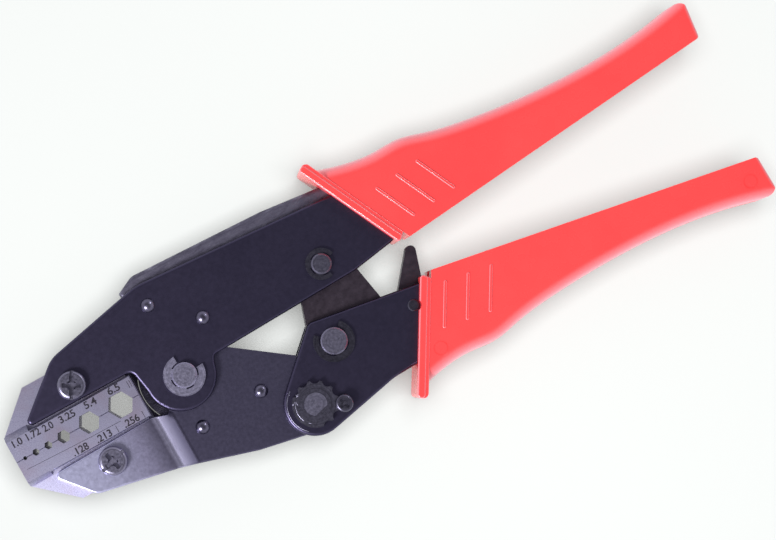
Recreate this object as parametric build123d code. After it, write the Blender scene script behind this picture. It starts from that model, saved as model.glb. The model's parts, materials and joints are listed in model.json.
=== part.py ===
from build123d import *
import os
from math import atan2, cos, degrees, radians, sin, sqrt, tan

# Ratchet crimping tool for coaxial ferrules, in millimetres. It is drawn lying on its back about the
# main pivot: +X runs from the jaws to the grips along the parting line of the dies, +Y from the moving
# handle to the fixed one, +Z out of the front. Written parts are moved so that the origin is the middle
# of the tool's footprint, at the level of the table.

# Pivots of the four-bar linkage, and of the release pawl
MAIN_PIVOT = (0.0, 0.0)
LINK_TOP = (47.5, 8.3)
LINK_FOOT = (40.2, -11.9)
ADJUSTER = (27.3, -24.5)
PAWL_PIVOT = (64.3, -14.1)

# Layers, as distances from the middle plane; BEYOND is outside the whole tool
SHEET = 2.5
CHANNEL = 4.0
FACE = CHANNEL + SHEET
SIDE_PLAY = 0.1
INNER_FACE = CHANNEL - SIDE_PLAY
CORE = INNER_FACE - SHEET
GRIP_FACE = 8.9
GRIP_RIM = 9.6
BEYOND = 20.0

# Fits
FIXED = 0.02
RUNNING = 0.05
LOOP_PLAY = 1.08
ECCENTRIC = 0.20

# Pins, as radii
MAIN_PIN = 3.5
LINK_TOP_PIN = 2.85
LINK_FOOT_PIN = 3.75
ADJUSTER_PIN = 3.2
PAWL_PIN = 1.7
PAWL_PIN_PROUD = 0.5
PAWL_PIN_CHAMFER = 0.3
PAWL_WASHER = 3.4
WASHER_PLAY = 0.05
RIVET = 1.5
PIN_HEAD_THICKNESS = 2.3
PIN_HEAD_RIM = 1.9
PIN_HEAD_ROUND = 0.5
PIN_CHAMFER = 0.4
CLIP_THICKNESS = 0.8
CLIP_LIFT = 0.05
CLIP_SLOT = 0.4
CLIP_MOUTH = 44
CLIP_LUGS = (100, 180, 260)
PIN_TIP = FACE + 1.9

# Dies: nests are (distance from the main pivot along the parting line, across flats)
PARTING = 1.4
DIE_GAP = 0.015
DIE_EDGE_BREAK = 0.12
BOSS_CHAMFER = 0.3
DIE_FRONT = -51.0
DIE_BACK = -13.2
DIE_DEPTH = 17.2
DIE_SHOULDER = 7.4
DIE_CHAMFER = 10.8
# Behind each boss a heel of the tang closes the space up to the jaw's hub
DIE_HEEL_DEPTH = 8.0
DIE_HEEL_RADIUS = 13.1
UPPER_BOSS_DEPTH = 6.0
LOWER_BOSS_DEPTH = 6.7
# In front of the plates each boss has a sloping side: (where it stops, depth at its top, depth at its foot)
UPPER_FLANK = (-44.1, 6.0, 7.8)
LOWER_FLANK = (-44.3, 6.2, 7.7)
BOSS_FACE = 6.2
NESTS = [(-19.1, 6.5), (-28.8, 5.4), (-36.6, 3.25), (-41.3, 2.0), (-45.1, 1.72), (-48.4, 1.0)]
DIE_SCREWS = [(-27.9, 12.5), (-28.1, -10.9)]
DIE_SCREW = 2.0
DIE_SCREW_HEAD = 4.0
DIE_SCREW_HEAD_HEIGHT = 2.4

# Side plates
PIVOT_BOSS = 10.0
PIVOT_BOSS_CENTRE = (-1.0, 0.6)
JAW_BOSS = 9.1
JAW_TAIL = 7.7
JAW_SHROUD = 12.8
BOSS_CLEARANCE = 0.4
HANDLE_END = 8.8
LINK_TOP_BOSS = 7.0
LINK_FOOT_BOSS = 6.6
JOGGLE_START = -8.2
JOGGLE_END = -12.2
EDGE_ROUND = 0.9
SPINE_ROUND = 1.2
SPINE_BACK = 28.0
JAW_EDGE_ROUND = 0.5
FRAME_RIVETS = [(0.5, 21.5), (12.0, 11.3)]
FRAME_TAIL_RIVETS = [(108.0, 14.2), (146.0, 16.0)]
JAW_RIVETS = [(-2.6, -14.9), (16.1, -14.1)]
HANDLE_RIVETS = [(106.0, -21.4), (142.0, -26.6)]

# Ratchet on the link, and the pawl that runs over it
RATCHET_TIP = 13.7
RATCHET_ROOT = 12.3
RATCHET_FROM = -12.0
RATCHET_TEETH = 11
RATCHET_PITCH = 5.9
RATCHET_HALF = 1.5
PAWL_HALF = 2.4
PAWL_NOSE = 10.2
PAWL_NOSE_HALF_WIDTH = 0.6
PAWL_NOSE_ROOT = 4.2
PAWL_BOSS = 4.6
PAWL_TIP_REACH = 15.3
PAWL_TIP_ANGLE = 62.5
PAWL_TIP_ROUND = 1.5

# Springs: where each hooks on, and its coil
LINK_EAR = (57.6, 4.6)
RETURN_ANCHOR = (88.0, 13.3)
PAWL_TAIL_REACH = 6.2
PAWL_ANCHOR = (92.0, -20.2)
ANCHOR_PIN = 1.5
EYE_OUTER = 2.0
EYE_INNER = 0.8
SPRING_WIRE = 0.7
SPRING_COIL = 2.1
SPRING_HOOK = 4.0
HOOK_STANDOFF = 2.2

# Adjuster
WHEEL_RADIUS = 6.5
WHEEL_THICKNESS = 1.7
WHEEL_NOTCHES = 8
WHEEL_FIRST_NOTCH = -87
WHEEL_NOTCH_PITCH = 30
WHEEL_NOTCH = 1.5
WHEEL_HUB = 4.3
PIN_FLAT = 2.3
FLAT_TURN = -75
ECCENTRIC_TAIL = 1.6
ADJUSTER_GROOVE = 2.5
ADJUSTER_CLIP = 4.9
LOCK_SCREW = (34.3, -28.1)
LOCK_SCREW_SHANK = 1.25
LOCK_SCREW_HEAD = 2.45
LOCK_SCREW_HEAD_HEIGHT = 1.4
LOCK_SCREW_PLAY = 0.15

# Grips: where each profile lies (x, y, turn), and how far its front edge reaches before that place
FIXED_GRIP = (71.3, 2.9, 5.3)
FIXED_GRIP_REACH = 2.1
MOVING_GRIP = (70.3, -7.4, -10.1)
MOVING_GRIP_REACH = 0.4
GRIP_OUTER = [(-2.2, 26.9), (6.0, 25.0), (14.2, 24.2), (20.5, 21.9), (34.5, 17.6), (54.0, 13.6),
              (74.0, 11.3), (96.5, 11.7)]
GRIP_TIP = (-12.0, 32.0)
GRIP_LEAN = degrees(atan2(12.0, 32.0))
GRIP_END = (102.8, 11.4)
GRIP_HEEL = (100.4, 0.0)
RIM_LENGTH = 34.3
RIM_WIDTH = 3.1
RIM_TIP = 1.45
BEAD_WIDTH = 2.2
BEAD_ROUND = 0.55
STEP_HEIGHT = 0.3
STEP_ROUND = 0.25
BACK_ROUND = 4.0
# The middle of the long outer edge lies beyond this corner, and no other edge's does
OUTER_EDGE = (10.0, 12.0)
END_ROUND = 1.2
RIB_START = (5.6, 4.0)
RIB_STEP = 6.75
RIB_LENGTH = 13.2
RIB_WIDTH = 0.9
RIB_HEIGHT = 0.35
RIB_COUNT = 3
RIB_ROUND = 0.3
MOULD_MARKS = [(-1.7, 21.2), (96.0, 5.9)]
MARK_RADIUS = 2.0
MARK_WIDTH = 0.2
MARK_DEPTH = 0.1


def polar(centre, radius, angle):
    """The point at a distance and an angle in degrees from a centre."""
    return (centre[0] + radius * cos(radians(angle)), centre[1] + radius * sin(radians(angle)))


def outline(corners):
    """A face whose corners are (x, y, rounding radius)."""
    face = make_face(Polyline(*[(x, y) for x, y, _ in corners], close=True))
    for x, y, radius in corners:
        if radius:
            corner = face.vertices().sort_by_distance((x, y, 0))[0]
            face = fillet(corner, radius)
    return face


def circle(centre, radius):
    return Pos(*centre) * Circle(radius)


def slab(face, low, high):
    """A flat piece of that outline between two heights."""
    return Pos(0, 0, low) * extrude(face, amount=high - low, dir=(0, 0, 1))


def disc(centre, radius, low, high):
    return Pos(centre[0], centre[1], (low + high) / 2) * Cylinder(radius, high - low)


def through(centre, radius):
    """A tool that drills right through the whole stack."""
    return disc(centre, radius, -BEYOND, BEYOND)


def mirrored(piece):
    return mirror(piece, about=Plane.XY)


def soften(piece, radius=EDGE_ROUND):
    """Round the edges of the piece's highest face, as stamping does."""
    return fillet(piece.faces().sort_by(Axis.Z)[-1].edges(), radius)


def solids_of(pieces):
    return Compound(children=[solid for piece in pieces for solid in piece.solids()])


# ---------------------------------------------------------------- fasteners

def rivet(centre, reach, dome=1.2, head=2.0):
    """A rivet with a domed head on both sides of a stack that reaches that far from the middle."""
    ball = (head * head + dome * dome) / (2 * dome)
    cap = Pos(0, 0, reach + dome - ball) * Sphere(ball) & Pos(0, 0, reach + dome / 2) * Cylinder(head, dome)
    return Pos(*centre) * (Cylinder(RIVET, 2 * reach) + cap + mirrored(cap))


def flush_rivet(centre, reach):
    return disc(centre, RIVET, -reach, reach)


def headed_pin(centre, radius, groove):
    """A pivot pin put in from behind: a flat head at the back, a grooved tip for a clip in front."""
    head = disc(centre, radius + PIN_HEAD_RIM, -FACE - PIN_HEAD_THICKNESS, -FACE)
    head = fillet(head.faces().sort_by(Axis.Z)[0].edges(), PIN_HEAD_ROUND)
    shank = disc(centre, radius, -FACE, PIN_TIP)
    shank = chamfer(shank.faces().sort_by(Axis.Z)[-1].edges(), PIN_CHAMFER)
    clip_low = FACE + CLIP_LIFT
    slot = disc(centre, radius + 1, clip_low, clip_low + CLIP_THICKNESS)
    return head + shank - (slot - through(centre, groove))


def e_clip(centre, pin, groove, outer, mouth):
    """A flat retaining clip: a ring close round the pin, open at the mouth, with three lugs in the groove."""
    low = FACE + CLIP_LIFT
    ring = Circle(outer) - Circle(pin + CLIP_SLOT)
    lug = Pos(0.75 * outer, 0) * Rectangle(0.5 * outer, 0.5 * outer)
    lugs = Sketch() + [Rot(0, 0, turn) * lug for turn in CLIP_LUGS]
    sides = [polar((0, 0), 2 * outer, angle) for angle in (CLIP_MOUTH, -CLIP_MOUTH)]
    gap = make_face(Polyline((0, 0), *sides, close=True))
    face = (ring + (lugs & Circle(outer))) - Circle(groove) - gap
    return slab(Pos(*centre) * Rot(0, 0, mouth) * face, low, low + CLIP_THICKNESS)


def cross_recess(width, depth):
    """A Phillips recess that points down from z = 0: a cross and the cone between its arms."""
    arm = Box(width, 0.24 * width, depth)
    return Pos(0, 0, -depth / 2) * (arm + Rot(0, 0, 90) * arm + Cone(0.05 * width, 0.27 * width, depth))


def pan_screw(centre, shank, head, height, seat, end, turn, slotted):
    """A pan-head screw seated at one height, with its end at another."""
    cap = Pos(0, 0, seat + height / 2) * Cylinder(head, height)
    cap = fillet(cap.faces().sort_by(Axis.Z)[-1].edges(), 0.45 * height)
    body = cap + Pos(0, 0, (seat + end) / 2) * Cylinder(shank, seat - end)
    top = Pos(0, 0, seat + height)
    recess = top * cross_recess(1.3 * head, 0.6 * height)
    if slotted:
        recess += top * Box(2.2 * head, 0.24 * head, 0.8 * height)
    return Pos(*centre) * Rot(0, 0, turn) * (body - recess)


# ---------------------------------------------------------------- frame

def tail_corners_fixed():
    """The tang inside the fixed grip, from the lower edge round to the upper one."""
    return [(54.9, 2.2, 0), (67.7, 4.2, 8), (76.0, 7.5, 8), (156.0, 14.2, 1.5), (156.0, 18.2, 1.5),
            (110.0, 18.3, 0), (66.0, 23.2, 0)]


def frame_face():
    corners = [(-45.3, 8.2, 1.2), (-12.2, 7.9, 2.0), (-10.95, 0.6, 0), (8.5, -1.8, 0),
               (9.8, 0.9, 1.2), (38.5, 1.7, 0)]
    corners += tail_corners_fixed()
    corners += [(0.0, 27.9, 14), (-29.5, 21.6, 9)]
    return outline(corners) + circle(PIVOT_BOSS_CENTRE, PIVOT_BOSS)


def spine_face():
    return outline([(-5.0, 28.2, 0.5), (0.3, 30.8, 4), (40.0, 29.2, 0), (58.0, 27.2, 0), (84.0, 21.2, 0),
                    (110.0, 18.3, 0), (156.0, 18.2, 1.5), (156.0, 14.2, 1.5), (98.0, 9.35, 1),
                    (94.0, 16.6, 2), (80.0, 17.6, 4), (26.0, 19.0, 4), (17.5, 8.0, 3), (8.3, 8.0, 1.5),
                    (3.5, 16.0, 3), (-4.0, 17.0, 2)])


def frame_drilling():
    tools = through(MAIN_PIVOT, MAIN_PIN + FIXED) + through(LINK_TOP, LINK_TOP_PIN + FIXED)
    tools += through(DIE_SCREWS[0], DIE_SCREW + FIXED) + through(RETURN_ANCHOR, ANCHOR_PIN + FIXED)
    for centre in FRAME_RIVETS + FRAME_TAIL_RIVETS:
        tools += through(centre, RIVET + FIXED)
    return tools


def frame_plate():
    return soften(slab(frame_face(), CHANNEL, FACE)) - frame_drilling()


def frame_spine():
    spine = slab(spine_face(), -CHANNEL, CHANNEL)
    back = spine.edges().filter_by(Axis.Z, reverse=True).filter_by(lambda e: e.center().Y > SPINE_BACK)
    spine = fillet(back, SPINE_ROUND)
    return spine - frame_drilling()


def return_spring_anchor():
    return flush_rivet(RETURN_ANCHOR, FACE)


# ---------------------------------------------------------------- dies

def half_nest(width):
    """Half of a hexagon whose corners lie on the parting line."""
    corner = width / sqrt(3)
    return [(-corner, 0), (-corner / 2, width / 2), (corner / 2, width / 2), (corner, 0)]


def flank(stop, top, foot):
    """The sloping side of a boss, from the front of the die to where the side plate begins."""
    side = make_face(Polyline((0, CHANNEL), (0, BOSS_FACE), (top, BOSS_FACE), (foot, CHANNEL), close=True))
    return Pos(DIE_FRONT, 0, 0) * extrude(Plane.YZ * side, amount=stop - DIE_FRONT, dir=(1, 0, 0))


def die(side, boss_depth, slope):
    """A die above (side = 1) or below (side = -1) the parting line: tang, raised boss and nests."""
    tang = make_face(Polyline((DIE_FRONT, 0), (DIE_FRONT, DIE_SHOULDER),
                              (DIE_FRONT + DIE_CHAMFER, DIE_DEPTH), (DIE_BACK - 1, DIE_DEPTH),
                              (DIE_BACK - 1, boss_depth), (DIE_BACK, boss_depth), (DIE_BACK, 0), close=True))
    boss_face = make_face(Polyline((slope[0], 0), (slope[0], boss_depth), (DIE_BACK, boss_depth),
                                   (DIE_BACK, 0), close=True))
    boss = slab(boss_face, -BOSS_FACE, BOSS_FACE)
    rims = [e for e in boss.edges() if abs(abs(e.center().Z) - BOSS_FACE) < 0.01
            and e.center().Y > 0.1 and e.center().X > slope[0] + 0.1]
    boss = chamfer(rims, BOSS_CHAMFER)
    front = flank(*slope) & slab(tang, 0, BOSS_FACE)
    heel = Pos(DIE_BACK - 1, 0) * Rectangle(5, DIE_HEEL_DEPTH, align=(Align.MIN, Align.MIN))
    heel -= circle((0, -side * PARTING), DIE_HEEL_RADIUS)
    body = slab(tang, -CHANNEL, CHANNEL) + slab(heel, -CORE, CORE) + boss + front + mirrored(front)
    for x, width in NESTS:
        notch = make_face(Polyline(*half_nest(width), close=True))
        body -= Pos(x, 0) * slab(notch, -BEYOND, BEYOND)
    body -= Box(-3 * DIE_FRONT, 2 * DIE_GAP, 2 * BEYOND)
    square = Rot(45, 0, 0) * Box(-3 * DIE_FRONT, DIE_EDGE_BREAK * sqrt(2), DIE_EDGE_BREAK * sqrt(2))
    for face in (-BOSS_FACE, BOSS_FACE):
        body -= Pos(0, DIE_GAP, face) * square
    if side < 0:
        body = mirror(body, about=Plane.XZ)
    return Pos(0, PARTING, 0) * body


def upper_die():
    return die(1, UPPER_BOSS_DEPTH, UPPER_FLANK) - through(DIE_SCREWS[0], DIE_SCREW + FIXED)


def lower_die():
    return die(-1, LOWER_BOSS_DEPTH, LOWER_FLANK) - through(DIE_SCREWS[1], DIE_SCREW + FIXED)


def die_screw(index, turn):
    return pan_screw(DIE_SCREWS[index], DIE_SCREW, DIE_SCREW_HEAD, DIE_SCREW_HEAD_HEIGHT, FACE, -FACE,
                     turn, True)


# ---------------------------------------------------------------- jaw

def jaw_face():
    body = outline([(-42.6, -6.3, 0.8), (-13.6, -5.8, 2.0), (-9.0, -7.0, 0), (5.4, 7.3, 0),
                    (31.0, -11.6, 3.0), (35.0, -24.5, 0), (27.3, -32.2, 0), (8.0, -28.2, 0),
                    (-13.6, -21.5, 0), (-36.3, -16.7, 4.0), (-43.8, -7.6, 1.2)])
    return body + circle(MAIN_PIVOT, JAW_BOSS) + circle(ADJUSTER, JAW_TAIL)


def outline_xz(corners):
    """The same as outline, stood up in the X-Z plane."""
    return Plane.XZ * outline(corners)


def joggled_sheet():
    """Sheet metal that steps out from the inner layer to the outer one in front of the pivot."""
    rise = FACE - INNER_FACE
    slope = atan2(rise, JOGGLE_START - JOGGLE_END)
    shift = SHEET * (1 - cos(slope)) / sin(slope)
    with_bends = outline_xz([(-60, FACE, 0), (JOGGLE_END, FACE, 2.5), (JOGGLE_START, INNER_FACE, 2.0),
                             (60, INNER_FACE, 0), (60, CORE, 0), (JOGGLE_START - shift, CORE, 2.5),
                             (JOGGLE_END - shift, CHANNEL, 1.0), (-60, CHANNEL, 0)])
    return extrude(with_bends, amount=60, both=True)


def jaw_plate():
    plate = joggled_sheet() & slab(jaw_face(), 0, 10)
    tip_edges = plate.faces().sort_by(Axis.Z)[-1].edges().filter_by(lambda e: e.center().X < JOGGLE_END - 3)
    plate = fillet(tip_edges, JAW_EDGE_ROUND)
    plate -= through(MAIN_PIVOT, MAIN_PIN + RUNNING) + through(DIE_SCREWS[1], DIE_SCREW + FIXED)
    plate -= through(ADJUSTER, ADJUSTER_PIN + ECCENTRIC + RUNNING)
    plate -= slab(circle(PIVOT_BOSS_CENTRE, PIVOT_BOSS + BOSS_CLEARANCE), INNER_FACE, BEYOND)
    for centre in JAW_RIVETS:
        plate -= through(centre, RIVET + FIXED)
    return plate


def jaw_spacer():
    face = outline([(-6.0, -4.0, 0), (4.8, 6.5, 0), (22.0, -6.4, 2), (24.0, -15.0, 3), (14.0, -27.0, 3),
                    (-6.5, -21.0, 2)]) + circle(MAIN_PIVOT, JAW_BOSS - 0.7)
    shroud = circle(MAIN_PIVOT, JAW_SHROUD) & Pos(-JAW_SHROUD, 0) * Rectangle(2 * JAW_SHROUD - 4, 18)
    spacer = slab(face + shroud, -CORE, CORE) - through(MAIN_PIVOT, MAIN_PIN + RUNNING)
    for centre in JAW_RIVETS:
        spacer -= through(centre, RIVET + FIXED)
    return spacer


# ---------------------------------------------------------------- moving handle

def handle_face():
    body = outline([(36.3, -4.1, 2.5), (21.2, -18.1, 0), (28.9, -33.15, 0), (50.0, -28.9, 12),
                    (92.0, -27.6, 0), (110.0, -26.0, 0), (155.0, -30.5, 1.5), (155.0, -25.8, 1.5),
                    (78.0, -12.3, 8), (68.5, -9.4, 8)])
    return body + circle(ADJUSTER, HANDLE_END)


def handle_drilling():
    tools = through(ADJUSTER, ADJUSTER_PIN + RUNNING) + through(LINK_FOOT, LINK_FOOT_PIN + FIXED)
    tools += through(PAWL_PIVOT, PAWL_PIN + FIXED) + through(LOCK_SCREW, LOCK_SCREW_SHANK + FIXED)
    tools += through(PAWL_ANCHOR, ANCHOR_PIN + FIXED)
    for centre in HANDLE_RIVETS:
        tools += through(centre, RIVET + FIXED)
    return tools


def handle_plate():
    return soften(slab(handle_face(), CHANNEL, FACE)) - handle_drilling()


def handle_spacer():
    face = outline([(98.0, -16.8, 1), (153.5, -26.4, 1), (153.5, -29.6, 1), (110.0, -25.2, 0),
                    (98.0, -26.2, 1)])
    return slab(face, -CHANNEL, CHANNEL) - handle_drilling()


def pawl_pin():
    pin = disc(PAWL_PIVOT, PAWL_PIN, -FACE - PAWL_PIN_PROUD, FACE + PAWL_PIN_PROUD)
    return chamfer(pin.edges().filter_by(GeomType.CIRCLE), PAWL_PIN_CHAMFER)


def pawl_washers():
    ring = disc(PAWL_PIVOT, PAWL_WASHER, PAWL_HALF + WASHER_PLAY, CHANNEL - WASHER_PLAY)
    ring -= through(PAWL_PIVOT, PAWL_PIN + RUNNING)
    return [ring, mirrored(ring)]


def lock_screw():
    seat = FACE + WHEEL_THICKNESS + LOCK_SCREW_PLAY
    return pan_screw(LOCK_SCREW, LOCK_SCREW_SHANK, LOCK_SCREW_HEAD, LOCK_SCREW_HEAD_HEIGHT, seat, CHANNEL,
                     20, False)


def pawl_spring_anchor():
    return flush_rivet(PAWL_ANCHOR, FACE)


# ---------------------------------------------------------------- toggle link

def link_face():
    body = outline([(40.9, 10.7, 0), (34.0, -9.66, 0), (46.0, -15.0, 0), (50.6, -9.2, 1.5),
                    (57.9, -9.0, 1.6), (54.4, 9.6, 0)])
    return body + circle(LINK_TOP, LINK_TOP_BOSS) + circle(LINK_FOOT, LINK_FOOT_BOSS)


def link_holes():
    return through(LINK_TOP, LINK_TOP_PIN + RUNNING) + through(LINK_FOOT, LINK_FOOT_PIN + LOOP_PLAY)


def link_plate():
    return slab(link_face(), RATCHET_HALF, INNER_FACE) - link_holes()


def ratchet_plate():
    """The middle plate of the link, with the ratchet about its foot and the ear for the spring."""
    points = [LINK_FOOT, polar(LINK_FOOT, RATCHET_ROOT, RATCHET_FROM + 26)]
    points.append(polar(LINK_FOOT, RATCHET_ROOT, RATCHET_FROM + RATCHET_PITCH))
    for tooth in range(RATCHET_TEETH):
        angle = RATCHET_FROM - tooth * RATCHET_PITCH
        points.append(polar(LINK_FOOT, RATCHET_ROOT, angle + RATCHET_PITCH / 2))
        points.append(polar(LINK_FOOT, RATCHET_TIP, angle + RATCHET_PITCH / 12))
        points.append(polar(LINK_FOOT, RATCHET_TIP, angle - RATCHET_PITCH / 12))
    points.append(polar(LINK_FOOT, RATCHET_ROOT, angle - RATCHET_PITCH / 2))
    sector = make_face(Polyline(*points, close=True))
    ear = outline([(52.0, 9.5, 0), (52.0, 1.5, 0), (57.6, 2.6, 0), (57.6, 6.6, 0)])
    ear += circle(LINK_EAR, EYE_OUTER)
    face = link_face() + sector + ear - circle(LINK_EAR, EYE_INNER)
    return slab(face, -RATCHET_HALF, RATCHET_HALF) - link_holes()


# ---------------------------------------------------------------- pawl

def pawl_tail():
    angle = degrees(atan2(PAWL_ANCHOR[1] - PAWL_PIVOT[1], PAWL_ANCHOR[0] - PAWL_PIVOT[0]))
    return polar(PAWL_PIVOT, PAWL_TAIL_REACH, angle)


def pawl():
    tip = polar(PAWL_PIVOT, PAWL_TIP_REACH, PAWL_TIP_ANGLE)
    lever = outline([(tip[0] - 1.35, tip[1] + 0.6, 0), (60.4, -11.6, 0), (66.0, -18.0, 0),
                     (69.6, -11.0, 4), (tip[0] + 1.45, tip[1] - 0.4, 0)])
    facing = degrees(atan2(LINK_FOOT[1] - PAWL_PIVOT[1], LINK_FOOT[0] - PAWL_PIVOT[0]))
    wedge = Polyline((0, PAWL_NOSE_ROOT), (PAWL_NOSE, PAWL_NOSE_HALF_WIDTH),
                     (PAWL_NOSE, -PAWL_NOSE_HALF_WIDTH), (0, -PAWL_NOSE_ROOT), close=True)
    nose = Rot(0, 0, facing) * make_face(wedge)
    tail = pawl_tail()
    face = lever + circle(tip, PAWL_TIP_ROUND) + circle(PAWL_PIVOT, PAWL_BOSS) + Pos(*PAWL_PIVOT) * nose
    face = face + circle(tail, EYE_OUTER) - circle(tail, EYE_INNER)
    body = slab(face, -PAWL_HALF, PAWL_HALF)
    return body - through(PAWL_PIVOT, PAWL_PIN + RUNNING)


# ---------------------------------------------------------------- springs

def extension_spring(start, end):
    """The room that an extension spring takes: a hollow coil with a straight hook at each end."""
    length = sqrt((end[0] - start[0]) ** 2 + (end[1] - start[1]) ** 2)
    turn = degrees(atan2(end[1] - start[1], end[0] - start[0]))
    coil_length = length - 2 * SPRING_HOOK
    coil = Cylinder(SPRING_COIL, coil_length) - Cylinder(SPRING_COIL - SPRING_WIRE, length)
    end_turn = Cylinder(SPRING_COIL, SPRING_WIRE)
    for side in (-1, 1):
        coil += Pos(0, 0, side * (coil_length - SPRING_WIRE) / 2) * end_turn
    hooks = Cylinder(SPRING_WIRE / 2, length - 2 * HOOK_STANDOFF)
    hooks -= Cylinder(SPRING_COIL, coil_length - 2 * SPRING_WIRE)
    spring = Rot(0, 90, 0) * (coil + hooks)
    middle = ((start[0] + end[0]) / 2, (start[1] + end[1]) / 2)
    return Pos(*middle) * Rot(0, 0, turn) * spring


# ---------------------------------------------------------------- adjuster

def eccentric_pin():
    """Its ends turn in the moving handle; the middle, a little off centre, carries the jaw's tail."""
    ends = disc(ADJUSTER, ADJUSTER_PIN, -FACE - ECCENTRIC_TAIL, FACE + WHEEL_THICKNESS + 0.5)
    middle = disc((ADJUSTER[0] + ECCENTRIC, ADJUSTER[1]), ADJUSTER_PIN, -INNER_FACE, INNER_FACE)
    ends -= disc(ADJUSTER, 2 * ADJUSTER_PIN, -INNER_FACE, INNER_FACE)
    beside_flat = Pos(PIN_FLAT + ADJUSTER_PIN, 0) * Rectangle(2 * ADJUSTER_PIN, 4 * ADJUSTER_PIN)
    pin = ends + middle - slab(Pos(*ADJUSTER) * Rot(0, 0, FLAT_TURN) * beside_flat, FACE, BEYOND)
    clip_high = -FACE - 0.2
    groove = disc(ADJUSTER, 2 * ADJUSTER_PIN, clip_high - CLIP_THICKNESS, clip_high)
    return pin - (groove - through(ADJUSTER, ADJUSTER_GROOVE))


def adjuster_wheel():
    face = Circle(WHEEL_RADIUS)
    for notch in range(WHEEL_NOTCHES):
        turn = WHEEL_FIRST_NOTCH + notch * WHEEL_NOTCH_PITCH
        face -= Rot(0, 0, turn) * Pos(WHEEL_RADIUS + 0.6, 0) * Circle(WHEEL_NOTCH)
    wheel = slab(face, FACE + 0.05, FACE + WHEEL_THICKNESS)
    beside_flat = Pos(PIN_FLAT + ADJUSTER_PIN, 0) * Rectangle(2 * ADJUSTER_PIN, 4 * ADJUSTER_PIN)
    bore = Circle(ADJUSTER_PIN) - Rot(0, 0, FLAT_TURN) * beside_flat
    hub = slab(Circle(WHEEL_HUB) - bore, FACE + 0.05, FACE + WHEEL_THICKNESS + 0.3)
    return Pos(*ADJUSTER) * (wheel - slab(bore, 0, BEYOND) + hub)


def adjuster_clip():
    return mirrored(Pos(0, 0, 0.15) * e_clip(ADJUSTER, ADJUSTER_PIN, ADJUSTER_GROOVE, ADJUSTER_CLIP, 200))


# ---------------------------------------------------------------- grips

def grip_face(reach):
    """The profile of a sleeve, whose slanting front edge lies that far before the origin."""
    tip = (GRIP_TIP[0] - reach, GRIP_TIP[1])
    outer = Spline(tip, *GRIP_OUTER)
    rest = Polyline(GRIP_OUTER[-1], GRIP_END, GRIP_HEEL, (-reach, 0), tip)
    face = make_face([outer, rest])
    for corner, radius in ((GRIP_END, 2.5), (GRIP_HEEL, 1.5)):
        face = fillet(face.vertices().sort_by_distance((*corner, 0))[0], radius)
    return face


def rim_bar(width, height, rounding):
    """A bar along the front edge of a sleeve, round at its outer tip, with rounded upper and lower edges."""
    tip = min(RIM_TIP, width / 2 - 0.05)
    bar = outline([(0, 0, 0.9), (width, width * tan(radians(GRIP_LEAN)), 0), (width, RIM_LENGTH, tip),
                   (0, RIM_LENGTH, RIM_TIP if width > 2 * RIM_TIP else tip)])
    bead = extrude(bar, amount=height, both=True)
    return fillet(bead.edges().filter_by(lambda e: abs(abs(e.center().Z) - height) < 0.01), rounding)


def rounded_back(solid):
    """Round the two long edges that the palm or the fingers close over."""
    edges = [e for e in solid.edges() if abs(abs(e.center().Z) - GRIP_FACE) < 0.01
             and e.center().X > OUTER_EDGE[0] and e.center().Y > OUTER_EDGE[1]]
    return fillet(edges, BACK_ROUND)


def rounded_end(solid):
    """Cut the closed end of a grip to a profile with rounded corners."""
    lean = degrees(atan2(GRIP_END[0] - GRIP_HEEL[0], GRIP_END[1] - GRIP_HEEL[1]))
    profile = Pos(-75, 0) * RectangleRounded(150, 2 * GRIP_FACE, END_ROUND)
    prism = extrude(Plane.XZ * profile, amount=60, both=True)
    return solid & Pos(*GRIP_HEEL) * Rot(0, 0, -lean) * prism


def rib(place):
    """A raised line on the face of a grip, rounded along its top."""
    line = slab(place * SlotCenterToCenter(RIB_LENGTH - RIB_WIDTH, RIB_WIDTH, rotation=90), GRIP_FACE - 1,
                GRIP_FACE + RIB_HEIGHT)
    return soften(line, RIB_ROUND)


def grip(reach, marks_above):
    """A moulded sleeve, lying along +X with its outer edge towards +Y."""
    front = Pos(-reach, 0) * Rot(0, 0, GRIP_LEAN)
    behind_rim = grip_face(reach) - front * Pos(RIM_WIDTH / 2, 20) * Rectangle(RIM_WIDTH, 60)
    body = rounded_end(rounded_back(extrude(behind_rim, amount=GRIP_FACE, both=True)))
    body += front * rim_bar(RIM_WIDTH, GRIP_FACE + STEP_HEIGHT, STEP_ROUND)
    body += front * rim_bar(BEAD_WIDTH, GRIP_RIM, BEAD_ROUND)
    for index in range(RIB_COUNT):
        foot = Pos(RIB_START[0] + index * RIB_STEP, RIB_START[1])
        body += rib(foot * Rot(0, 0, GRIP_LEAN) * Pos(0, RIB_LENGTH / 2))
    for centre in MOULD_MARKS:
        ring = circle(centre, MARK_RADIUS) - circle(centre, MARK_RADIUS - MARK_WIDTH)
        mark = slab(ring, GRIP_FACE - MARK_DEPTH, BEYOND)
        body -= mark if marks_above else mirrored(mark)
    return body


def fixed_grip():
    x, y, turn = FIXED_GRIP
    sleeve = Pos(x, y) * Rot(0, 0, turn) * grip(FIXED_GRIP_REACH, False)
    return sleeve - slab(frame_face(), -FACE, FACE) - slab(spine_face(), -CHANNEL, CHANNEL)


def moving_grip():
    x, y, turn = MOVING_GRIP
    sleeve = Pos(x, y) * Rot(0, 0, turn) * mirror(grip(MOVING_GRIP_REACH, True), about=Plane.XZ)
    lever_slot = Pos(68.0, -10.0, 0) * Box(17, 14, 2 * PAWL_HALF + 1.2)
    return sleeve - slab(handle_face(), -FACE, FACE) - lever_slot - through(PAWL_PIVOT, PAWL_PIN + 0.2)


# ---------------------------------------------------------------- assembly

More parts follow.
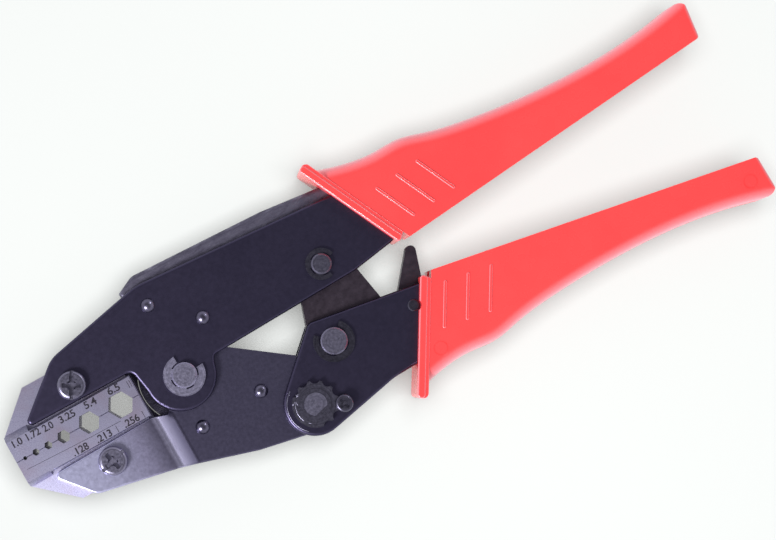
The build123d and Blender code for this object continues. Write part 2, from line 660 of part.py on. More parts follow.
def build():
    """Every piece by name, about the main pivot."""
    frame, jaw, handle, link = frame_plate(), jaw_plate(), handle_plate(), link_plate()
    return {
        "frame_front_plate": frame,
        "frame_rear_plate": mirrored(frame),
        "frame_spine": frame_spine(),
        "frame_rivets": solids_of([rivet(c, FACE) for c in FRAME_RIVETS]),
        "frame_tail_rivets": solids_of([flush_rivet(c, FACE) for c in FRAME_TAIL_RIVETS]),
        "main_pivot_pin": headed_pin(MAIN_PIVOT, MAIN_PIN, 2.9),
        "main_pivot_clip": e_clip(MAIN_PIVOT, MAIN_PIN, 2.9, 5.8, 48),
        "link_upper_pin": headed_pin(LINK_TOP, LINK_TOP_PIN, 2.3),
        "link_upper_clip": e_clip(LINK_TOP, LINK_TOP_PIN, 2.3, 4.45, -29),
        "upper_die": upper_die(),
        "upper_die_screw": die_screw(0, 61),
        "return_spring_anchor": return_spring_anchor(),
        "fixed_grip": fixed_grip(),
        "jaw_front_plate": jaw,
        "jaw_rear_plate": mirrored(jaw),
        "jaw_spacer": jaw_spacer(),
        "jaw_rivets": solids_of([rivet(c, INNER_FACE) for c in JAW_RIVETS]),
        "lower_die": lower_die(),
        "lower_die_screw": die_screw(1, 16),
        "handle_front_plate": handle,
        "handle_rear_plate": mirrored(handle),
        "handle_spacer": handle_spacer(),
        "handle_rivets": solids_of([flush_rivet(c, FACE) for c in HANDLE_RIVETS]),
        "link_lower_pin": headed_pin(LINK_FOOT, LINK_FOOT_PIN, 3.1),
        "link_lower_clip": e_clip(LINK_FOOT, LINK_FOOT_PIN, 3.1, 5.8, 91),
        "pawl_pin": pawl_pin(),
        "pawl_washers": solids_of(pawl_washers()),
        "adjuster_lock_screw": lock_screw(),
        "pawl_spring_anchor": pawl_spring_anchor(),
        "moving_grip": moving_grip(),
        "link_front_plate": link,
        "link_rear_plate": mirrored(link),
        "ratchet_plate": ratchet_plate(),
        "release_pawl": pawl(),
        "eccentric_pin": eccentric_pin(),
        "adjuster_wheel": adjuster_wheel(),
        "adjuster_clip": adjuster_clip(),
        "return_spring": extension_spring(LINK_EAR, RETURN_ANCHOR),
        "pawl_spring": extension_spring(pawl_tail(), PAWL_ANCHOR),
    }


def footprint_origin(pieces):
    """The middle of the tool's footprint, at the level that it rests on."""
    box = Compound(children=[solid for piece in pieces.values() for solid in piece.solids()]).bounding_box()
    return (box.center().X, box.center().Y, box.min.Z)


PIECES = build()
ORIGIN = footprint_origin(PIECES)
os.makedirs("parts", exist_ok=True)
for name, piece in PIECES.items():
    export_step(Pos(-ORIGIN[0], -ORIGIN[1], -ORIGIN[2]) * piece, "parts/" + name + ".step")
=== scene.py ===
import json
from math import cos, pi, radians, sin

import bpy
from mathutils import Matrix, Vector


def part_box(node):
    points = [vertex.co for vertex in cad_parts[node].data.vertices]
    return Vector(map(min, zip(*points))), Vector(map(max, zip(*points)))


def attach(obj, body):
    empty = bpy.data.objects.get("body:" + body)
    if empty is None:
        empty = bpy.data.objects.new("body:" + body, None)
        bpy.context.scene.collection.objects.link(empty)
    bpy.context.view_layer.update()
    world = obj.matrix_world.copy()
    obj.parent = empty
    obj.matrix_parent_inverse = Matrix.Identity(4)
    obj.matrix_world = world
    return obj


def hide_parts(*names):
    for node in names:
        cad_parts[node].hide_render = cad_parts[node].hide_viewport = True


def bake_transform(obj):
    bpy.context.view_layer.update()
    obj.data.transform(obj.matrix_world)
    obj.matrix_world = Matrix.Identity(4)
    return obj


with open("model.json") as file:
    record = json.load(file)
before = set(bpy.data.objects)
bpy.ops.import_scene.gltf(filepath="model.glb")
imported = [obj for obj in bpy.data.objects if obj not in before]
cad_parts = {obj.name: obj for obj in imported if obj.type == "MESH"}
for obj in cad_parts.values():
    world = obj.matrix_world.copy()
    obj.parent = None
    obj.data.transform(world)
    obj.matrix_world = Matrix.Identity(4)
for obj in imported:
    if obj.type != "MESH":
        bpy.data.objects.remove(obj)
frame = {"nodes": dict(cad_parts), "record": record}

# A ratchet crimping tool lying on its back on a white table. Metres, in the frame of the CAD model:
# +X from the jaws to the grips, +Y from the moving handle to the fixed one, +Z away from the table.
# Lengths on the tool itself are given in millimetres and turned into metres with MM.

MM = 0.001
NODES = frame["nodes"]

for name in ("Cube", "Light", "Camera"):
    if name in bpy.data.objects:
        bpy.data.objects.remove(bpy.data.objects[name])
bpy.context.view_layer.update()


# ------------------------------------------------------------------ places, taken from the frame

def centre(node):
    low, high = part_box(node)
    return (low + high) / 2


def top(node):
    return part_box(node)[1].z


MAIN_PIVOT = centre("main_pivot_pin")
ADJUSTER = centre("adjuster_wheel")
DIE_BACK_X = MAIN_PIVOT.x - 13.2 * MM
BOSS_TOP = top("upper_die")
PLATE_TOP = top("handle_front_plate")
MIDDLE_Z = centre("ratchet_plate").z


def on_tool(x, y, z=0.0):
    """A place given in millimetres from the main pivot, at height z in metres."""
    return Vector((MAIN_PIVOT.x + x * MM, MAIN_PIVOT.y + y * MM, z))


# ------------------------------------------------------------------ materials

class Material:
    """A Principled material with named helpers for the nodes that give it its detail."""

    def __init__(self, name, **constants):
        self.material = bpy.data.materials.new(name)
        self.material.use_nodes = True
        self.nodes = self.material.node_tree.nodes
        self.links = self.material.node_tree.links
        self.shader = self.nodes["Principled BSDF"]
        for socket, value in constants.items():
            self.shader.inputs[socket.replace("_", " ")].default_value = value
        self.place = self.nodes.new("ShaderNodeTexCoord").outputs["Object"]

    def link(self, source, node, socket):
        self.links.new(source, node.inputs[socket])

    def stretched(self, x, y, z, turn):
        """Object coordinates scaled along each axis, so that a texture runs out into streaks."""
        node = self.nodes.new("ShaderNodeMapping")
        node.inputs["Scale"].default_value = (x, y, z)
        node.inputs["Rotation"].default_value = (0, 0, turn)
        self.link(self.place, node, "Vector")
        return node.outputs["Vector"]

    def noise(self, scale, detail=4.0, roughness=0.55, vector=None):
        node = self.nodes.new("ShaderNodeTexNoise")
        node.inputs["Scale"].default_value = scale
        node.inputs["Detail"].default_value = detail
        node.inputs["Roughness"].default_value = roughness
        self.link(vector or self.place, node, "Vector")
        return node.outputs["Fac"]

    def rings(self, middle, scale):
        """Noise that depends only on the distance from an upright axis through middle."""
        away = self.nodes.new("ShaderNodeVectorMath")
        away.operation = "SUBTRACT"
        away.inputs[1].default_value = middle
        self.link(self.place, away, 0)
        flat = self.nodes.new("ShaderNodeVectorMath")
        flat.operation = "MULTIPLY"
        flat.inputs[1].default_value = (1, 1, 0)
        self.link(away.outputs["Vector"], flat, 0)
        length = self.nodes.new("ShaderNodeVectorMath")
        length.operation = "LENGTH"
        self.link(flat.outputs["Vector"], length, 0)
        node = self.nodes.new("ShaderNodeTexNoise")
        node.noise_dimensions = "1D"
        node.inputs["Scale"].default_value = scale
        node.inputs["Detail"].default_value = 2
        self.link(length.outputs["Value"], node, "W")
        return node.outputs["Fac"]

    def ramp(self, source, stops):
        """A colour ramp through (position, colour) stops; a number stands for a grey."""
        node = self.nodes.new("ShaderNodeValToRGB")
        elements = node.color_ramp.elements
        while len(elements) < len(stops):
            elements.new(0.5)
        for element, (position, colour) in zip(elements, stops):
            element.position = position
            grey = not isinstance(colour, tuple)
            element.color = (colour, colour, colour, 1) if grey else (*colour, 1)
        self.link(source, node, "Fac")
        return node.outputs["Color"]

    def mix(self, factor, first, second, blend="MIX"):
        node = self.nodes.new("ShaderNodeMix")
        node.data_type = "RGBA"
        node.blend_type = blend
        for index, value in ((0, factor), (6, first), (7, second)):
            if isinstance(value, bpy.types.NodeSocket):
                self.links.new(value, node.inputs[index])
            else:
                node.inputs[index].default_value = (*value, 1) if isinstance(value, tuple) else value
        return node.outputs[2]

    def along(self, axis, start, end):
        """0 to 1 between two places along an axis of the object."""
        split = self.nodes.new("ShaderNodeSeparateXYZ")
        self.link(self.place, split, "Vector")
        node = self.nodes.new("ShaderNodeMapRange")
        node.inputs["From Min"].default_value = start
        node.inputs["From Max"].default_value = end
        self.link(split.outputs[axis], node, "Value")
        return node.outputs["Result"]

    def upward(self):
        """How far the surface faces up: 1 on a level top, 0 on a wall, between them on rounded edges."""
        split = self.nodes.new("ShaderNodeSeparateXYZ")
        self.link(self.nodes.new("ShaderNodeNewGeometry").outputs["Normal"], split, "Vector")
        return split.outputs["Z"]

    def math(self, operation, first, second):
        node = self.nodes.new("ShaderNodeMath")
        node.operation = operation
        for index, value in enumerate((first, second)):
            if isinstance(value, bpy.types.NodeSocket):
                self.links.new(value, node.inputs[index])
            else:
                node.inputs[index].default_value = value
        return node.outputs[0]

    def colour(self, source):
        self.link(source, self.shader, "Base Color")

    def roughness(self, source):
        self.link(source, self.shader, "Roughness")

    def bump(self, source, distance, strength):
        node = self.nodes.new("ShaderNodeBump")
        node.inputs["Strength"].default_value = strength
        node.inputs["Distance"].default_value = distance
        self.link(source, node, "Height")
        self.link(node.outputs["Normal"], self.shader, "Normal")


def plate_steel():
    """Blackened stamped sheet: a fine etched grain and faint clouding."""
    m = Material("plate_steel", Metallic=1.0)
    m.colour(m.ramp(m.noise(60, 4), [(0.35, (0.060, 0.053, 0.098)), (0.65, (0.066, 0.058, 0.106))]))
    m.roughness(m.ramp(m.noise(900, 4), [(0.3, 0.33), (0.7, 0.38)]))
    m.bump(m.noise(2600, 3), 0.008 * MM, 0.4)
    return m.material


def jaw_steel():
    """The jaw's sheet: a painted reflection bright at its tip and dark before the bend, a painted highlight
    on the bend, black behind it, scuffs there.
    """
    m = Material("jaw_steel", Metallic=1.0)
    reach = m.along("X", on_tool(-46, 0).x, on_tool(-8, 0).x)
    # Painted reflection and highlight: bright towards the tip, dark before the bend, a bright stripe on the
    # bend, black behind it.
    painted_reflection = m.ramp(reach, [
        (0.0, (0.56, 0.56, 0.80)), (0.42, (0.50, 0.49, 0.70)), (0.70, (0.34, 0.32, 0.48)),
        (0.84, (0.14, 0.13, 0.20)), (0.89, (0.46, 0.44, 0.62)), (0.96, (0.20, 0.19, 0.29)),
        (1.0, (0.105, 0.096, 0.160))])
    by_bend = m.ramp(reach, [(0.62, 0.0), (0.80, 0.8), (0.96, 0.8), (1.0, 0.10)])
    scuffs = m.ramp(m.noise(420, 5, 0.7, m.stretched(2.0, 0.5, 1, radians(25))), [(0.52, 0.0), (0.75, 1.0)])
    m.colour(m.mix(m.math("MULTIPLY", by_bend, scuffs), painted_reflection, (0.24, 0.22, 0.32)))
    m.roughness(m.ramp(m.noise(1100, 4), [(0.3, 0.32), (0.7, 0.38)]))
    m.bump(m.noise(2400, 3), 0.01 * MM, 0.5)
    return m.material


def spine_steel():
    """The same blackened steel on a rougher sheared edge, with rub marks along it."""
    m = Material("spine_steel", Metallic=1.0)
    patches = m.noise(420, 5, 0.7, m.stretched(0.6, 1.8, 1, radians(-8)))
    m.colour(m.ramp(patches, [
        (0.35, (0.085, 0.078, 0.115)), (0.58, (0.16, 0.15, 0.21)), (0.75, (0.30, 0.29, 0.37))]))
    m.roughness(m.ramp(patches, [(0.3, 0.58), (0.75, 0.38)]))
    m.bump(m.noise(1500, 5), 0.05 * MM, 0.7)
    return m.material


def link_steel():
    """Blackened steel with a brownish cast."""
    m = Material("link_steel", Metallic=1.0)
    m.colour(m.ramp(m.noise(70, 4), [(0.3, (0.058, 0.045, 0.062)), (0.7, (0.078, 0.062, 0.082))]))
    m.roughness(m.ramp(m.noise(700, 4), [(0.3, 0.38), (0.7, 0.52)]))
    m.bump(m.noise(2200, 3), 0.015 * MM, 0.5)
    return m.material


def die_steel():
    """Ground and blasted tool steel: satin, with a sparkle of fine grain and a few straw-coloured stains,
    painted light and shade across the dies, and painted near-black shade on the heel behind them.
    """
    m = Material("die_steel", Metallic=1.0)
    grain = m.noise(3200, 2, 0.7)
    fine = m.ramp(grain, [(0.32, (0.42, 0.40, 0.58)), (0.68, (0.72, 0.70, 0.95))])
    stain = m.ramp(m.noise(110, 4), [(0.45, 0.0), (0.72, 0.45)])
    stains_and_shade = m.mix(stain, fine, (0.50, 0.37, 0.47))
    # Painted light and shade: full brightness low on the lower die, about half as bright from about 5 mm
    # below the pivot upwards.
    across = m.along("Y", on_tool(0, -13).y, on_tool(0, 8).y)
    shade = m.ramp(across, [(0.0, 1.1), (0.30, 1.0), (0.38, 0.56), (0.65, 0.50), (1.0, 0.48)])
    stains_and_shade = m.mix(1.0, stains_and_shade, shade, "MULTIPLY")
    # Painted shade: past the dies' back, in the deep gap before the pivot, the steel is near-black.
    painted_shade_at_heel = m.ramp(m.along("X", DIE_BACK_X, DIE_BACK_X + 0.4 * MM), [(0.0, 0.0), (1.0, 1.0)])
    m.colour(m.mix(painted_shade_at_heel, stains_and_shade, (0.05, 0.045, 0.07)))
    m.roughness(m.ramp(grain, [(0.3, 0.52), (0.7, 0.38)]))
    m.bump(grain, 0.02 * MM, 0.6)
    return m.material


# How light each turned part is, next to the main pivot's bright head
TONE = {"main_pivot_clip": 1.15, "link_upper_pin": 0.47, "link_upper_clip": 0.24, "link_lower_pin": 0.70,
        "link_lower_clip": 0.22, "eccentric_pin": 0.75, "adjuster_wheel": 0.36, "adjuster_lock_screw": 0.34,
        "pawl_pin": 0.25, "upper_die_screw": 0.55, "lower_die_screw": 0.70}


def turned_steel(node):
    """Pins, clips and screws: darkened steel with faint rings from the lathe around their own axis."""
    m = Material("turned_steel_" + node, Metallic=1.0)
    turning = m.rings(centre(node), 2600)
    tone = TONE.get(node, 1.0)
    dark, light, ring = ((r * tone, g * tone, b * tone) for r, g, b in (
        (0.26, 0.245, 0.36), (0.34, 0.32, 0.46), (0.44, 0.42, 0.57)))
    base = m.ramp(m.noise(500, 4), [(0.3, dark), (0.7, light)])
    m.colour(m.mix(m.ramp(turning, [(0.35, 0.0), (0.65, 0.6)]), base, ring))
    m.roughness(m.ramp(m.noise(1500, 3), [(0.3, 0.26), (0.7, 0.40)]))
    m.bump(turning, 0.02 * MM, 0.6)
    return m.material


def rivet_steel():
    """Upset rivet heads: the plate's black, polished where the tool struck them."""
    m = Material("rivet_steel", Metallic=1.0)
    m.colour(m.ramp(m.noise(600, 3), [(0.3, (0.10, 0.092, 0.14)), (0.7, (0.16, 0.15, 0.22))]))
    m.roughness(m.ramp(m.noise(900, 3), [(0.3, 0.20), (0.7, 0.32)]))
    m.bump(m.noise(1800, 2), 0.02 * MM, 0.5)
    return m.material


def spring_steel():
    """Bright drawn wire."""
    m = Material("spring_steel", Metallic=1.0)
    m.colour(m.ramp(m.noise(400, 3), [(0.3, (0.42, 0.42, 0.45)), (0.7, (0.58, 0.58, 0.60))]))
    m.roughness(m.ramp(m.noise(1400, 3), [(0.3, 0.22), (0.7, 0.36)]))
    m.bump(m.noise(2600, 2), 0.01 * MM, 0.4)
    return m.material


def grip_plastic():
    """Glossy coral vinyl with a soft moulded ripple, and a pale painted highlight along its rounded edges and
    ribs.
    """
    m = Material("grip_plastic", Specular_IOR_Level=0.5, Coat_Weight=0.35, Coat_Roughness=0.12)
    base = m.ramp(m.noise(35, 3), [(0.3, (0.90, 0.052, 0.054)), (0.7, (0.94, 0.062, 0.062))])
    # Painted highlight: pale pink where the surface turns from level towards a wall, on rounded edges and
    # ribs.
    painted_highlight = m.ramp(m.upward(), [(0.10, 0.0), (0.35, 0.75), (0.65, 0.42), (0.90, 0.14), (0.985, 0.0)])
    m.colour(m.mix(painted_highlight, base, (1.0, 0.46, 0.54)))
    m.roughness(m.ramp(m.noise(260, 4), [(0.3, 0.22), (0.7, 0.32)]))
    m.bump(m.noise(240, 3), 0.02 * MM, 0.3)
    return m.material


def stamped_ink():
    """Dark fill in the stamped numerals."""
    m = Material("stamped_ink", Specular_IOR_Level=0.3)
    m.colour(m.ramp(m.noise(1200, 3), [(0.3, (0.010, 0.008, 0.014)), (0.7, (0.022, 0.018, 0.030))]))
    m.roughness(m.ramp(m.noise(900, 2), [(0.3, 0.6), (0.7, 0.8)]))
    return m.material


def scribed_steel():
    """A painted highlight: lighter steel standing for the lit wall of a line cut or rolled into blackened
    steel.
    """
    m = Material("scribed_steel", Metallic=1.0)
    # Painted highlight: much lighter than the blackened plate around the line.
    m.colour(m.ramp(m.noise(900, 3), [(0.3, (0.16, 0.15, 0.22)), (0.7, (0.28, 0.27, 0.36))]))
    m.roughness(m.ramp(m.noise(1400, 2), [(0.3, 0.30), (0.7, 0.45)]))
    return m.material


SHARED = {make.__name__: make() for make in (
    plate_steel, jaw_steel, spine_steel, link_steel, die_steel, rivet_steel, spring_steel, grip_plastic,
    stamped_ink, scribed_steel)}


def paint_the_frame():
    """Every CAD piece gets the material of its slot; turned parts get one centred on their own axis."""
    for row in frame["record"]["subparts"]:
        node, slot = row["node"], row["material_slot"]
        if slot == "pin_steel":
            material = turned_steel(node)
        elif node in ("jaw_front_plate", "jaw_rear_plate"):
            material = SHARED["jaw_steel"]
        else:
            material = SHARED[slot]
        mesh = NODES[node].data
        mesh.materials.clear()
        mesh.materials.append(material)


# ------------------------------------------------------------------ meshes

def new_mesh_object(name, vertices, faces, material, smooth=True):
    mesh = bpy.data.meshes.new(name)
    mesh.from_pydata([tuple(v) for v in vertices], [], faces)
    mesh.materials.append(SHARED[material])
    for polygon in mesh.polygons:
        polygon.use_smooth = smooth
    piece = bpy.data.objects.new(name, mesh)
    bpy.context.scene.collection.objects.link(piece)
    return piece


def tube(name, line, radius, sides, material):
    """A round wire along a line of points, closed at both ends."""
    vertices, faces = [], []
    side = (line[1] - line[0]).orthogonal().normalized()
    for i, point in enumerate(line):
        ahead = line[min(i + 1, len(line) - 1)] - line[max(i - 1, 0)]
        ahead.normalize()
        side = (side - ahead * side.dot(ahead)).normalized()
        other = ahead.cross(side)
        for k in range(sides):
            angle = 2 * pi * k / sides
            vertices.append(point + radius * (cos(angle) * side + sin(angle) * other))
    for i in range(len(line) - 1):
        for k in range(sides):
            n = (k + 1) % sides
            faces.append((i * sides + k, i * sides + n, (i + 1) * sides + n, (i + 1) * sides + k))
    faces.append(tuple(reversed(range(sides))))
    faces.append(tuple(range((len(line) - 1) * sides, len(line) * sides)))
    return new_mesh_object(name, vertices, faces, material)


def ridge(name, line, width, height, material):
    """A low rounded ridge along a line of points on a level face, like the raised wall of a stamped line."""
    steps = 4
    sunk = 0.02 * MM
    vertices, faces = [], []
    for i, point in enumerate(line):
        ahead = line[min(i + 1, len(line) - 1)] - line[max(i - 1, 0)]
        across = Vector((-ahead.y, ahead.x, 0)).normalized()
        for k in range(steps + 1):
            angle = pi * k / steps
            rise = Vector((0, 0, sin(angle) * height - sunk))
            vertices.append(point + across * (cos(angle) * width / 2) + rise)
    row = steps + 1
    for i in range(len(line) - 1):
        for k in range(row):
            n = (k + 1) % row
            faces.append((i * row + n, i * row + k, (i + 1) * row + k, (i + 1) * row + n))
    faces.append(tuple(range(row)))
    faces.append(tuple(reversed(range((len(line) - 1) * row, len(line) * row))))
    return new_mesh_object(name, vertices, faces, material)


def lettering(name, text, place, width, height):
    """Thin figures on a level face, fitted into a box of that width and height around place."""
    curve = bpy.data.curves.new(name, "FONT")
    curve.body = text
    curve.offset = 0.02
    curve.extrude = 0.5
    curve.resolution_u = 4
    written = bpy.data.objects.new(name + "_text", curve)
    bpy.context.scene.collection.objects.link(written)
    bpy.context.view_layer.update()
    mesh = bpy.data.meshes.new_from_object(written.evaluated_get(bpy.context.evaluated_depsgraph_get()))
    bpy.data.objects.remove(written)
    bpy.data.curves.remove(curve)
    low = Vector(min(v.co[i] for v in mesh.vertices) for i in range(3))
    high = Vector(max(v.co[i] for v in mesh.vertices) for i in range(3))
    size = Vector((width, height, INK_DEPTH))
    for v in mesh.vertices:
        for i in range(3):
            v.co[i] = place[i] + size[i] * ((v.co[i] - low[i]) / (high[i] - low[i]) - 0.5)
    mesh.name = name
    mesh.materials.clear()
    mesh.materials.append(SHARED["stamped_ink"])
    piece = bpy.data.objects.new(name, mesh)
    bpy.context.scene.collection.objects.link(piece)
    return piece


# ------------------------------------------------------------------ marks on the dies

NUMERAL = 2.1 * MM
INK_DEPTH = 0.05 * MM
LINE_HEIGHT = 0.03 * MM
TICK_WIDTH = 0.22 * MM
SCRIBED_WIDTH = 0.16 * MM
# Nest sizes in millimetres, on the upper die: the figures, their place and their width
METRIC_SIZES = [("1.0", -48.2, 6.2, 2.8), ("1.72", -43.4, 6.1, 4.0), ("2.0", -39.0, 5.9, 3.0),
                ("3.25", -33.2, 5.8, 4.7), ("5.4", -26.0, 5.9, 3.6), ("6.5", -18.7, 6.1, 3.6)]
# The three largest nests again in inches, on the lower die
INCH_SIZES = [(".128", -34.3, -3.8, 4.6), (".213", -27.1, -3.8, 4.6), (".256", -18.6, -3.8, 4.6)]
# Where the ticks stand and end, and the line scribed along the lower die
UPPER_TICKS, UPPER_TICK_ENDS = (-14.6, -13.9), (4.2, 6.2)
LOWER_TICKS, LOWER_TICK_ENDS = (-23.0, -14.9), (-4.9, -2.9)
SCRIBED_LINE = [(-49.5, -1.55), (-30.5, -2.3), (-21.1, -2.45)]


def die_marks():
    for text, x, y, width in METRIC_SIZES:
        name = "size_" + text.replace(".", "_")
        piece = lettering(name, text, on_tool(x, y, BOSS_TOP), width * MM, NUMERAL)
        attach(piece, "frame")
    for text, x, y, width in INCH_SIZES:
        name = "inch" + text.replace(".", "_")
        piece = lettering(name, text, on_tool(x, y, BOSS_TOP), width * MM, NUMERAL)
        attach(piece, "jaw")
    for index, x in enumerate(UPPER_TICKS):
        tick = [on_tool(x, y, BOSS_TOP) for y in UPPER_TICK_ENDS]
        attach(ridge("upper_tick_" + str(index), tick, TICK_WIDTH, LINE_HEIGHT, "stamped_ink"), "frame")
    for index, x in enumerate(LOWER_TICKS):
        tick = [on_tool(x, y, BOSS_TOP) for y in LOWER_TICK_ENDS]
        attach(ridge("lower_tick_" + str(index), tick, TICK_WIDTH, LINE_HEIGHT, "stamped_ink"), "jaw")
    line = [on_tool(x, y, BOSS_TOP) for x, y in SCRIBED_LINE]
    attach(ridge("scribed_line", line, SCRIBED_WIDTH, LINE_HEIGHT, "stamped_ink"), "jaw")


# ------------------------------------------------------------------ marks around the adjuster

# Radii in millimetres from the adjuster's middle, angles in degrees from +X
SCALE_RADIUS, SCALE_START, SCALE_END = 7.7, 124, 228
ARROW_RADIUS, ARROW_START, ARROW_END = 5.5, 146, 208
BARB_ANGLE, BARB_LENGTH, BARB_SHIFT = 150, 1.3, 0.45
SIGN_RADIUS, SIGN_LENGTH, PLUS_ANGLE, MINUS_ANGLE = 5.45, 1.1, 126, 226
DEGREES_PER_CHORD = 4
SCALE_WIDTH, SCALE_HEIGHT = 0.3 * MM, 0.1 * MM
WHEEL_MARK_WIDTH, WHEEL_MARK_HEIGHT = 0.26 * MM, 0.06 * MM
HUB_RISE = 0.3 * MM


def around(radius, angle, z):
    """A place around the adjuster, at a radius in millimetres and an angle in degrees."""
    turn = radians(angle)
    return Vector((ADJUSTER.x + radius * MM * cos(turn), ADJUSTER.y + radius * MM * sin(turn), z))


def arc(radius, start, end, z):
    """Points on a circle around the adjuster, between two angles in degrees."""
    steps = max(2, round(abs(end - start) / DEGREES_PER_CHORD))
    return [around(radius, start + (end - start) * i / steps, z) for i in range(steps + 1)]


def stroke(radius, angle, length, lean, z):
    """A short straight line at a place around the adjuster, leaning by an angle from the radius."""
    middle = around(radius, angle, z)
    along = Vector((cos(radians(angle + lean)), sin(radians(angle + lean)), 0)) * (length * MM / 2)
    return [middle - along, middle + along]


def wheel_mark(name, line):
    """A thin bright line on the adjuster's wheel."""
    return ridge(name, line, WHEEL_MARK_WIDTH, WHEEL_MARK_HEIGHT, "scribed_steel")


def adjuster_marks():
    """An arc on the handle around the wheel, and on the wheel an arrow between a plus and a minus."""
    scale = arc(SCALE_RADIUS, SCALE_START, SCALE_END, PLATE_TOP)
    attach(ridge("adjuster_scale", scale, SCALE_WIDTH, SCALE_HEIGHT, "scribed_steel"), "handle")
    wheel = top("adjuster_wheel") - HUB_RISE
    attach(wheel_mark("turn_arrow", arc(ARROW_RADIUS, ARROW_START, ARROW_END, wheel)), "adjuster")
    for name, lean, shift in (("turn_arrow_barb_a", 58, BARB_SHIFT), ("turn_arrow_barb_b", 122, -BARB_SHIFT)):
        barb = stroke(ARROW_RADIUS + shift, BARB_ANGLE, BARB_LENGTH, lean, wheel)
        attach(wheel_mark(name, barb), "adjuster")
    signs = (("plus_bar", PLUS_ANGLE, 0), ("plus_post", PLUS_ANGLE, 90), ("minus_bar", MINUS_ANGLE, 90))
    for name, angle, lean in signs:
        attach(wheel_mark(name, stroke(SIGN_RADIUS, angle, SIGN_LENGTH, lean, wheel)), "adjuster")


# ------------------------------------------------------------------ springs

WIRE = 0.35 * MM
WIRE_SIDES = 8
COIL = 1.72 * MM
PITCH = 2.08 * WIRE
CHORDS_PER_TURN = 20
ANCHOR_LOOP = 1.95 * MM
EYE = 1.4 * MM
LOOP_CHORDS = 13
# The anchor's loop leaves out its point that faces the coil, where the cosine is above this
FACING_COIL = 0.97
# Millimetres from each end's middle to the coil, and from the coil back to the point before it
COIL_INSET, LEAD = 4.0, 1.2
# Chords over which the coil opens from the axis to its full radius
OPENING_CHORDS = 5


def helix_spring(name, node, start, end):
    """A close-wound extension spring from an anchor pin to an eye.

    Its wire goes round the anchor, then from the loop's far side straight through the anchor to the coil.
    """
    axis = (end - start).normalized()
    across = Vector((-axis.y, axis.x, 0))
    up = Vector((0, 0, 1))
    line = []
    for i in range(LOOP_CHORDS + 1):
        angle = radians(-150 + 330 * i / LOOP_CHORDS)
        if cos(angle) < FACING_COIL:
            line.append(start + ANCHOR_LOOP * (cos(angle) * axis - sin(angle) * across))
    first = start + axis * COIL_INSET * MM
    last = end - axis * COIL_INSET * MM
    line.append(first - axis * LEAD * MM)
    chords = round((last - first).length / PITCH) * CHORDS_PER_TURN
    for i in range(chords + 1):
        angle = 2 * pi * i / CHORDS_PER_TURN
        reach = COIL * min(1, i / OPENING_CHORDS, (chords - i) / OPENING_CHORDS)
        line.append(first.lerp(last, i / chords) + reach * (cos(angle) * across + sin(angle) * up))
    middle = end - axis * EYE
    for i in range(LOOP_CHORDS + 1):
        angle = radians(180 - 320 * i / LOOP_CHORDS)
        line.append(middle + EYE * (cos(angle) * axis + sin(angle) * up))
    spring = tube(name, line, WIRE, WIRE_SIDES, "spring_steel")
    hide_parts(node)
    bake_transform(spring)


def between_plates(node):
    """The middle of a pin, halfway between the side plates."""
    place = centre(node)
    return Vector((place.x, place.y, MIDDLE_Z))


def springs():
    """The return spring pulls on an ear of the link; the pawl spring pulls on the pawl's tail."""
    anchor = between_plates("return_spring_anchor")
    ear = on_tool(57.6, 4.6, MIDDLE_Z)
    helix_spring("return_coil", "return_spring", anchor, ear)
    anchor = between_plates("pawl_spring_anchor")
    pivot = between_plates("pawl_pin")
    tail = pivot + (anchor - pivot).normalized() * 6.2 * MM
    helix_spring("pawl_coil", "pawl_spring", anchor, tail)


# ------------------------------------------------------------------ table, light and camera

def table():
    """White card that glows a little, as an overexposed sheet does, so that the contact shadow stays pale."""
    side = 3.0
    corners = [(-side, -side, 0), (side, -side, 0), (side, side, 0), (-side, side, 0)]
    m = Material("table_white", Roughness=0.8, Specular_IOR_Level=0.1)
    m.colour(m.ramp(m.noise(3, 2), [(0.3, (0.165, 0.17, 0.168)), (0.7, (0.175, 0.18, 0.178))]))
    m.shader.inputs["Emission Color"].default_value = (0.99, 1.0, 0.96, 1)
    m.shader.inputs["Emission Strength"].default_value = 0.23
    SHARED["table_white"] = m.material
    plane = new_mesh_object("table", corners, [(0, 1, 2, 3)], "table_white", smooth=False)
    plane.location.z = -0.2 * MM
    return plane


def area_light(name, place, target, size, radiance):
    """A square softbox; its power follows from how bright its face is."""
    data = bpy.data.lights.new(name, "AREA")
    data.shape = "SQUARE"
    data.size = size
    data.energy = radiance * pi * size * size
    lamp = bpy.data.objects.new(name, data)
    lamp.location = place
    lamp.rotation_euler = (Vector(target) - Vector(place)).to_track_quat("-Z", "Y").to_euler()
    bpy.context.scene.collection.objects.link(lamp)
    return lamp


def only_lights(lamp, objects, name):
    """Keeps a lamp's light to these objects."""
    group = bpy.data.collections.new(name)
    for item in objects:
        group.objects.link(item)
    lamp.light_linking.receiver_collection = group


# How bright the surroundings are by height: the overhead is dim and the walls are bright
SKY = [(-1.0, 0.5), (0.0, 0.90), (0.62, 0.84), (0.78, 0.32), (1.0, 0.24)]


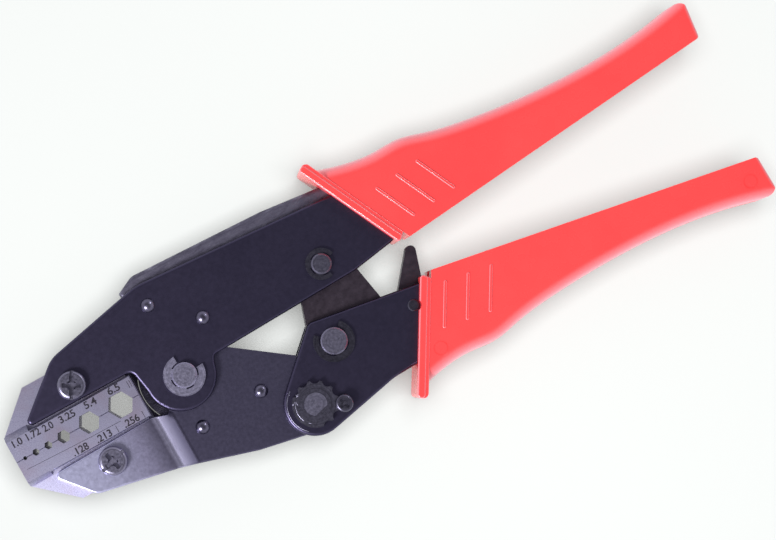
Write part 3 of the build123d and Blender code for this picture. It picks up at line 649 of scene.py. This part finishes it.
def surroundings():
    world = bpy.data.worlds.new("studio")
    world.use_nodes = True
    nodes, links = world.node_tree.nodes, world.node_tree.links
    split = nodes.new("ShaderNodeSeparateXYZ")
    links.new(nodes.new("ShaderNodeTexCoord").outputs["Generated"], split.inputs["Vector"])
    ramp = nodes.new("ShaderNodeValToRGB")
    elements = ramp.color_ramp.elements
    while len(elements) < len(SKY):
        elements.new(0.5)
    for element, (height, level) in zip(elements, SKY):
        element.position = (height + 1) / 2
        element.color = (0.97 * level, 0.97 * level, level, 1)
    height = nodes.new("ShaderNodeMapRange")
    height.inputs["From Min"].default_value = -1
    links.new(split.outputs["Z"], height.inputs["Value"])
    links.new(height.outputs["Result"], ramp.inputs["Fac"])
    links.new(ramp.outputs["Color"], nodes["Background"].inputs["Color"])
    bpy.context.scene.world = world


# Lamps: place, what each points at, width in metres, and how bright its face is
KEY = ((-0.62, -0.18, 0.60), (-0.05, 0, 0), 0.27, 40)
GLINT = ((0.70, 0.25, 0.60), (0, 0, 0), 0.14, 22)
CARD_LAMP = ((0, 0, 0.9), (0, 0, 0), 0.68, 24.5)


def lights(plane):
    """A hard key from the jaw side and a small glint opposite it; a lamp overhead for the card alone."""
    tool = [item for item in bpy.data.objects if item.type == "MESH" and item is not plane]
    key = area_light("key", *KEY)
    glint = area_light("glint", *GLINT)
    only_lights(key, tool, "lit_by_key")
    only_lights(glint, tool, "lit_by_glint")
    only_lights(area_light("card_lamp", *CARD_LAMP), [plane], "lit_by_card_lamp")


def camera():
    """Almost straight above the tool, turned so that it lies across the picture."""
    place = Vector((MAIN_PIVOT.x + 0.0090, MAIN_PIVOT.y - 0.0004, 0.5761))
    forward = Vector((0.0957, -0.0031, -0.9954)).normalized()
    upward = Vector((0.4864, 0.8727, 0.0440))
    right = forward.cross(upward).normalized()
    turn = Matrix((right, right.cross(forward), -forward)).transposed()
    data = bpy.data.cameras.new("camera")
    data.lens = 94.48
    data.sensor_width = 36
    data.clip_start = 0.01
    eye = bpy.data.objects.new("camera", data)
    eye.matrix_world = Matrix.Translation(place) @ turn.to_4x4()
    bpy.context.scene.collection.objects.link(eye)
    bpy.context.scene.camera = eye


paint_the_frame()
die_marks()
adjuster_marks()
springs()
card = table()
surroundings()
lights(card)
camera()
bpy.context.scene.view_settings.view_transform = "Standard"

bpy.context.view_layer.update()
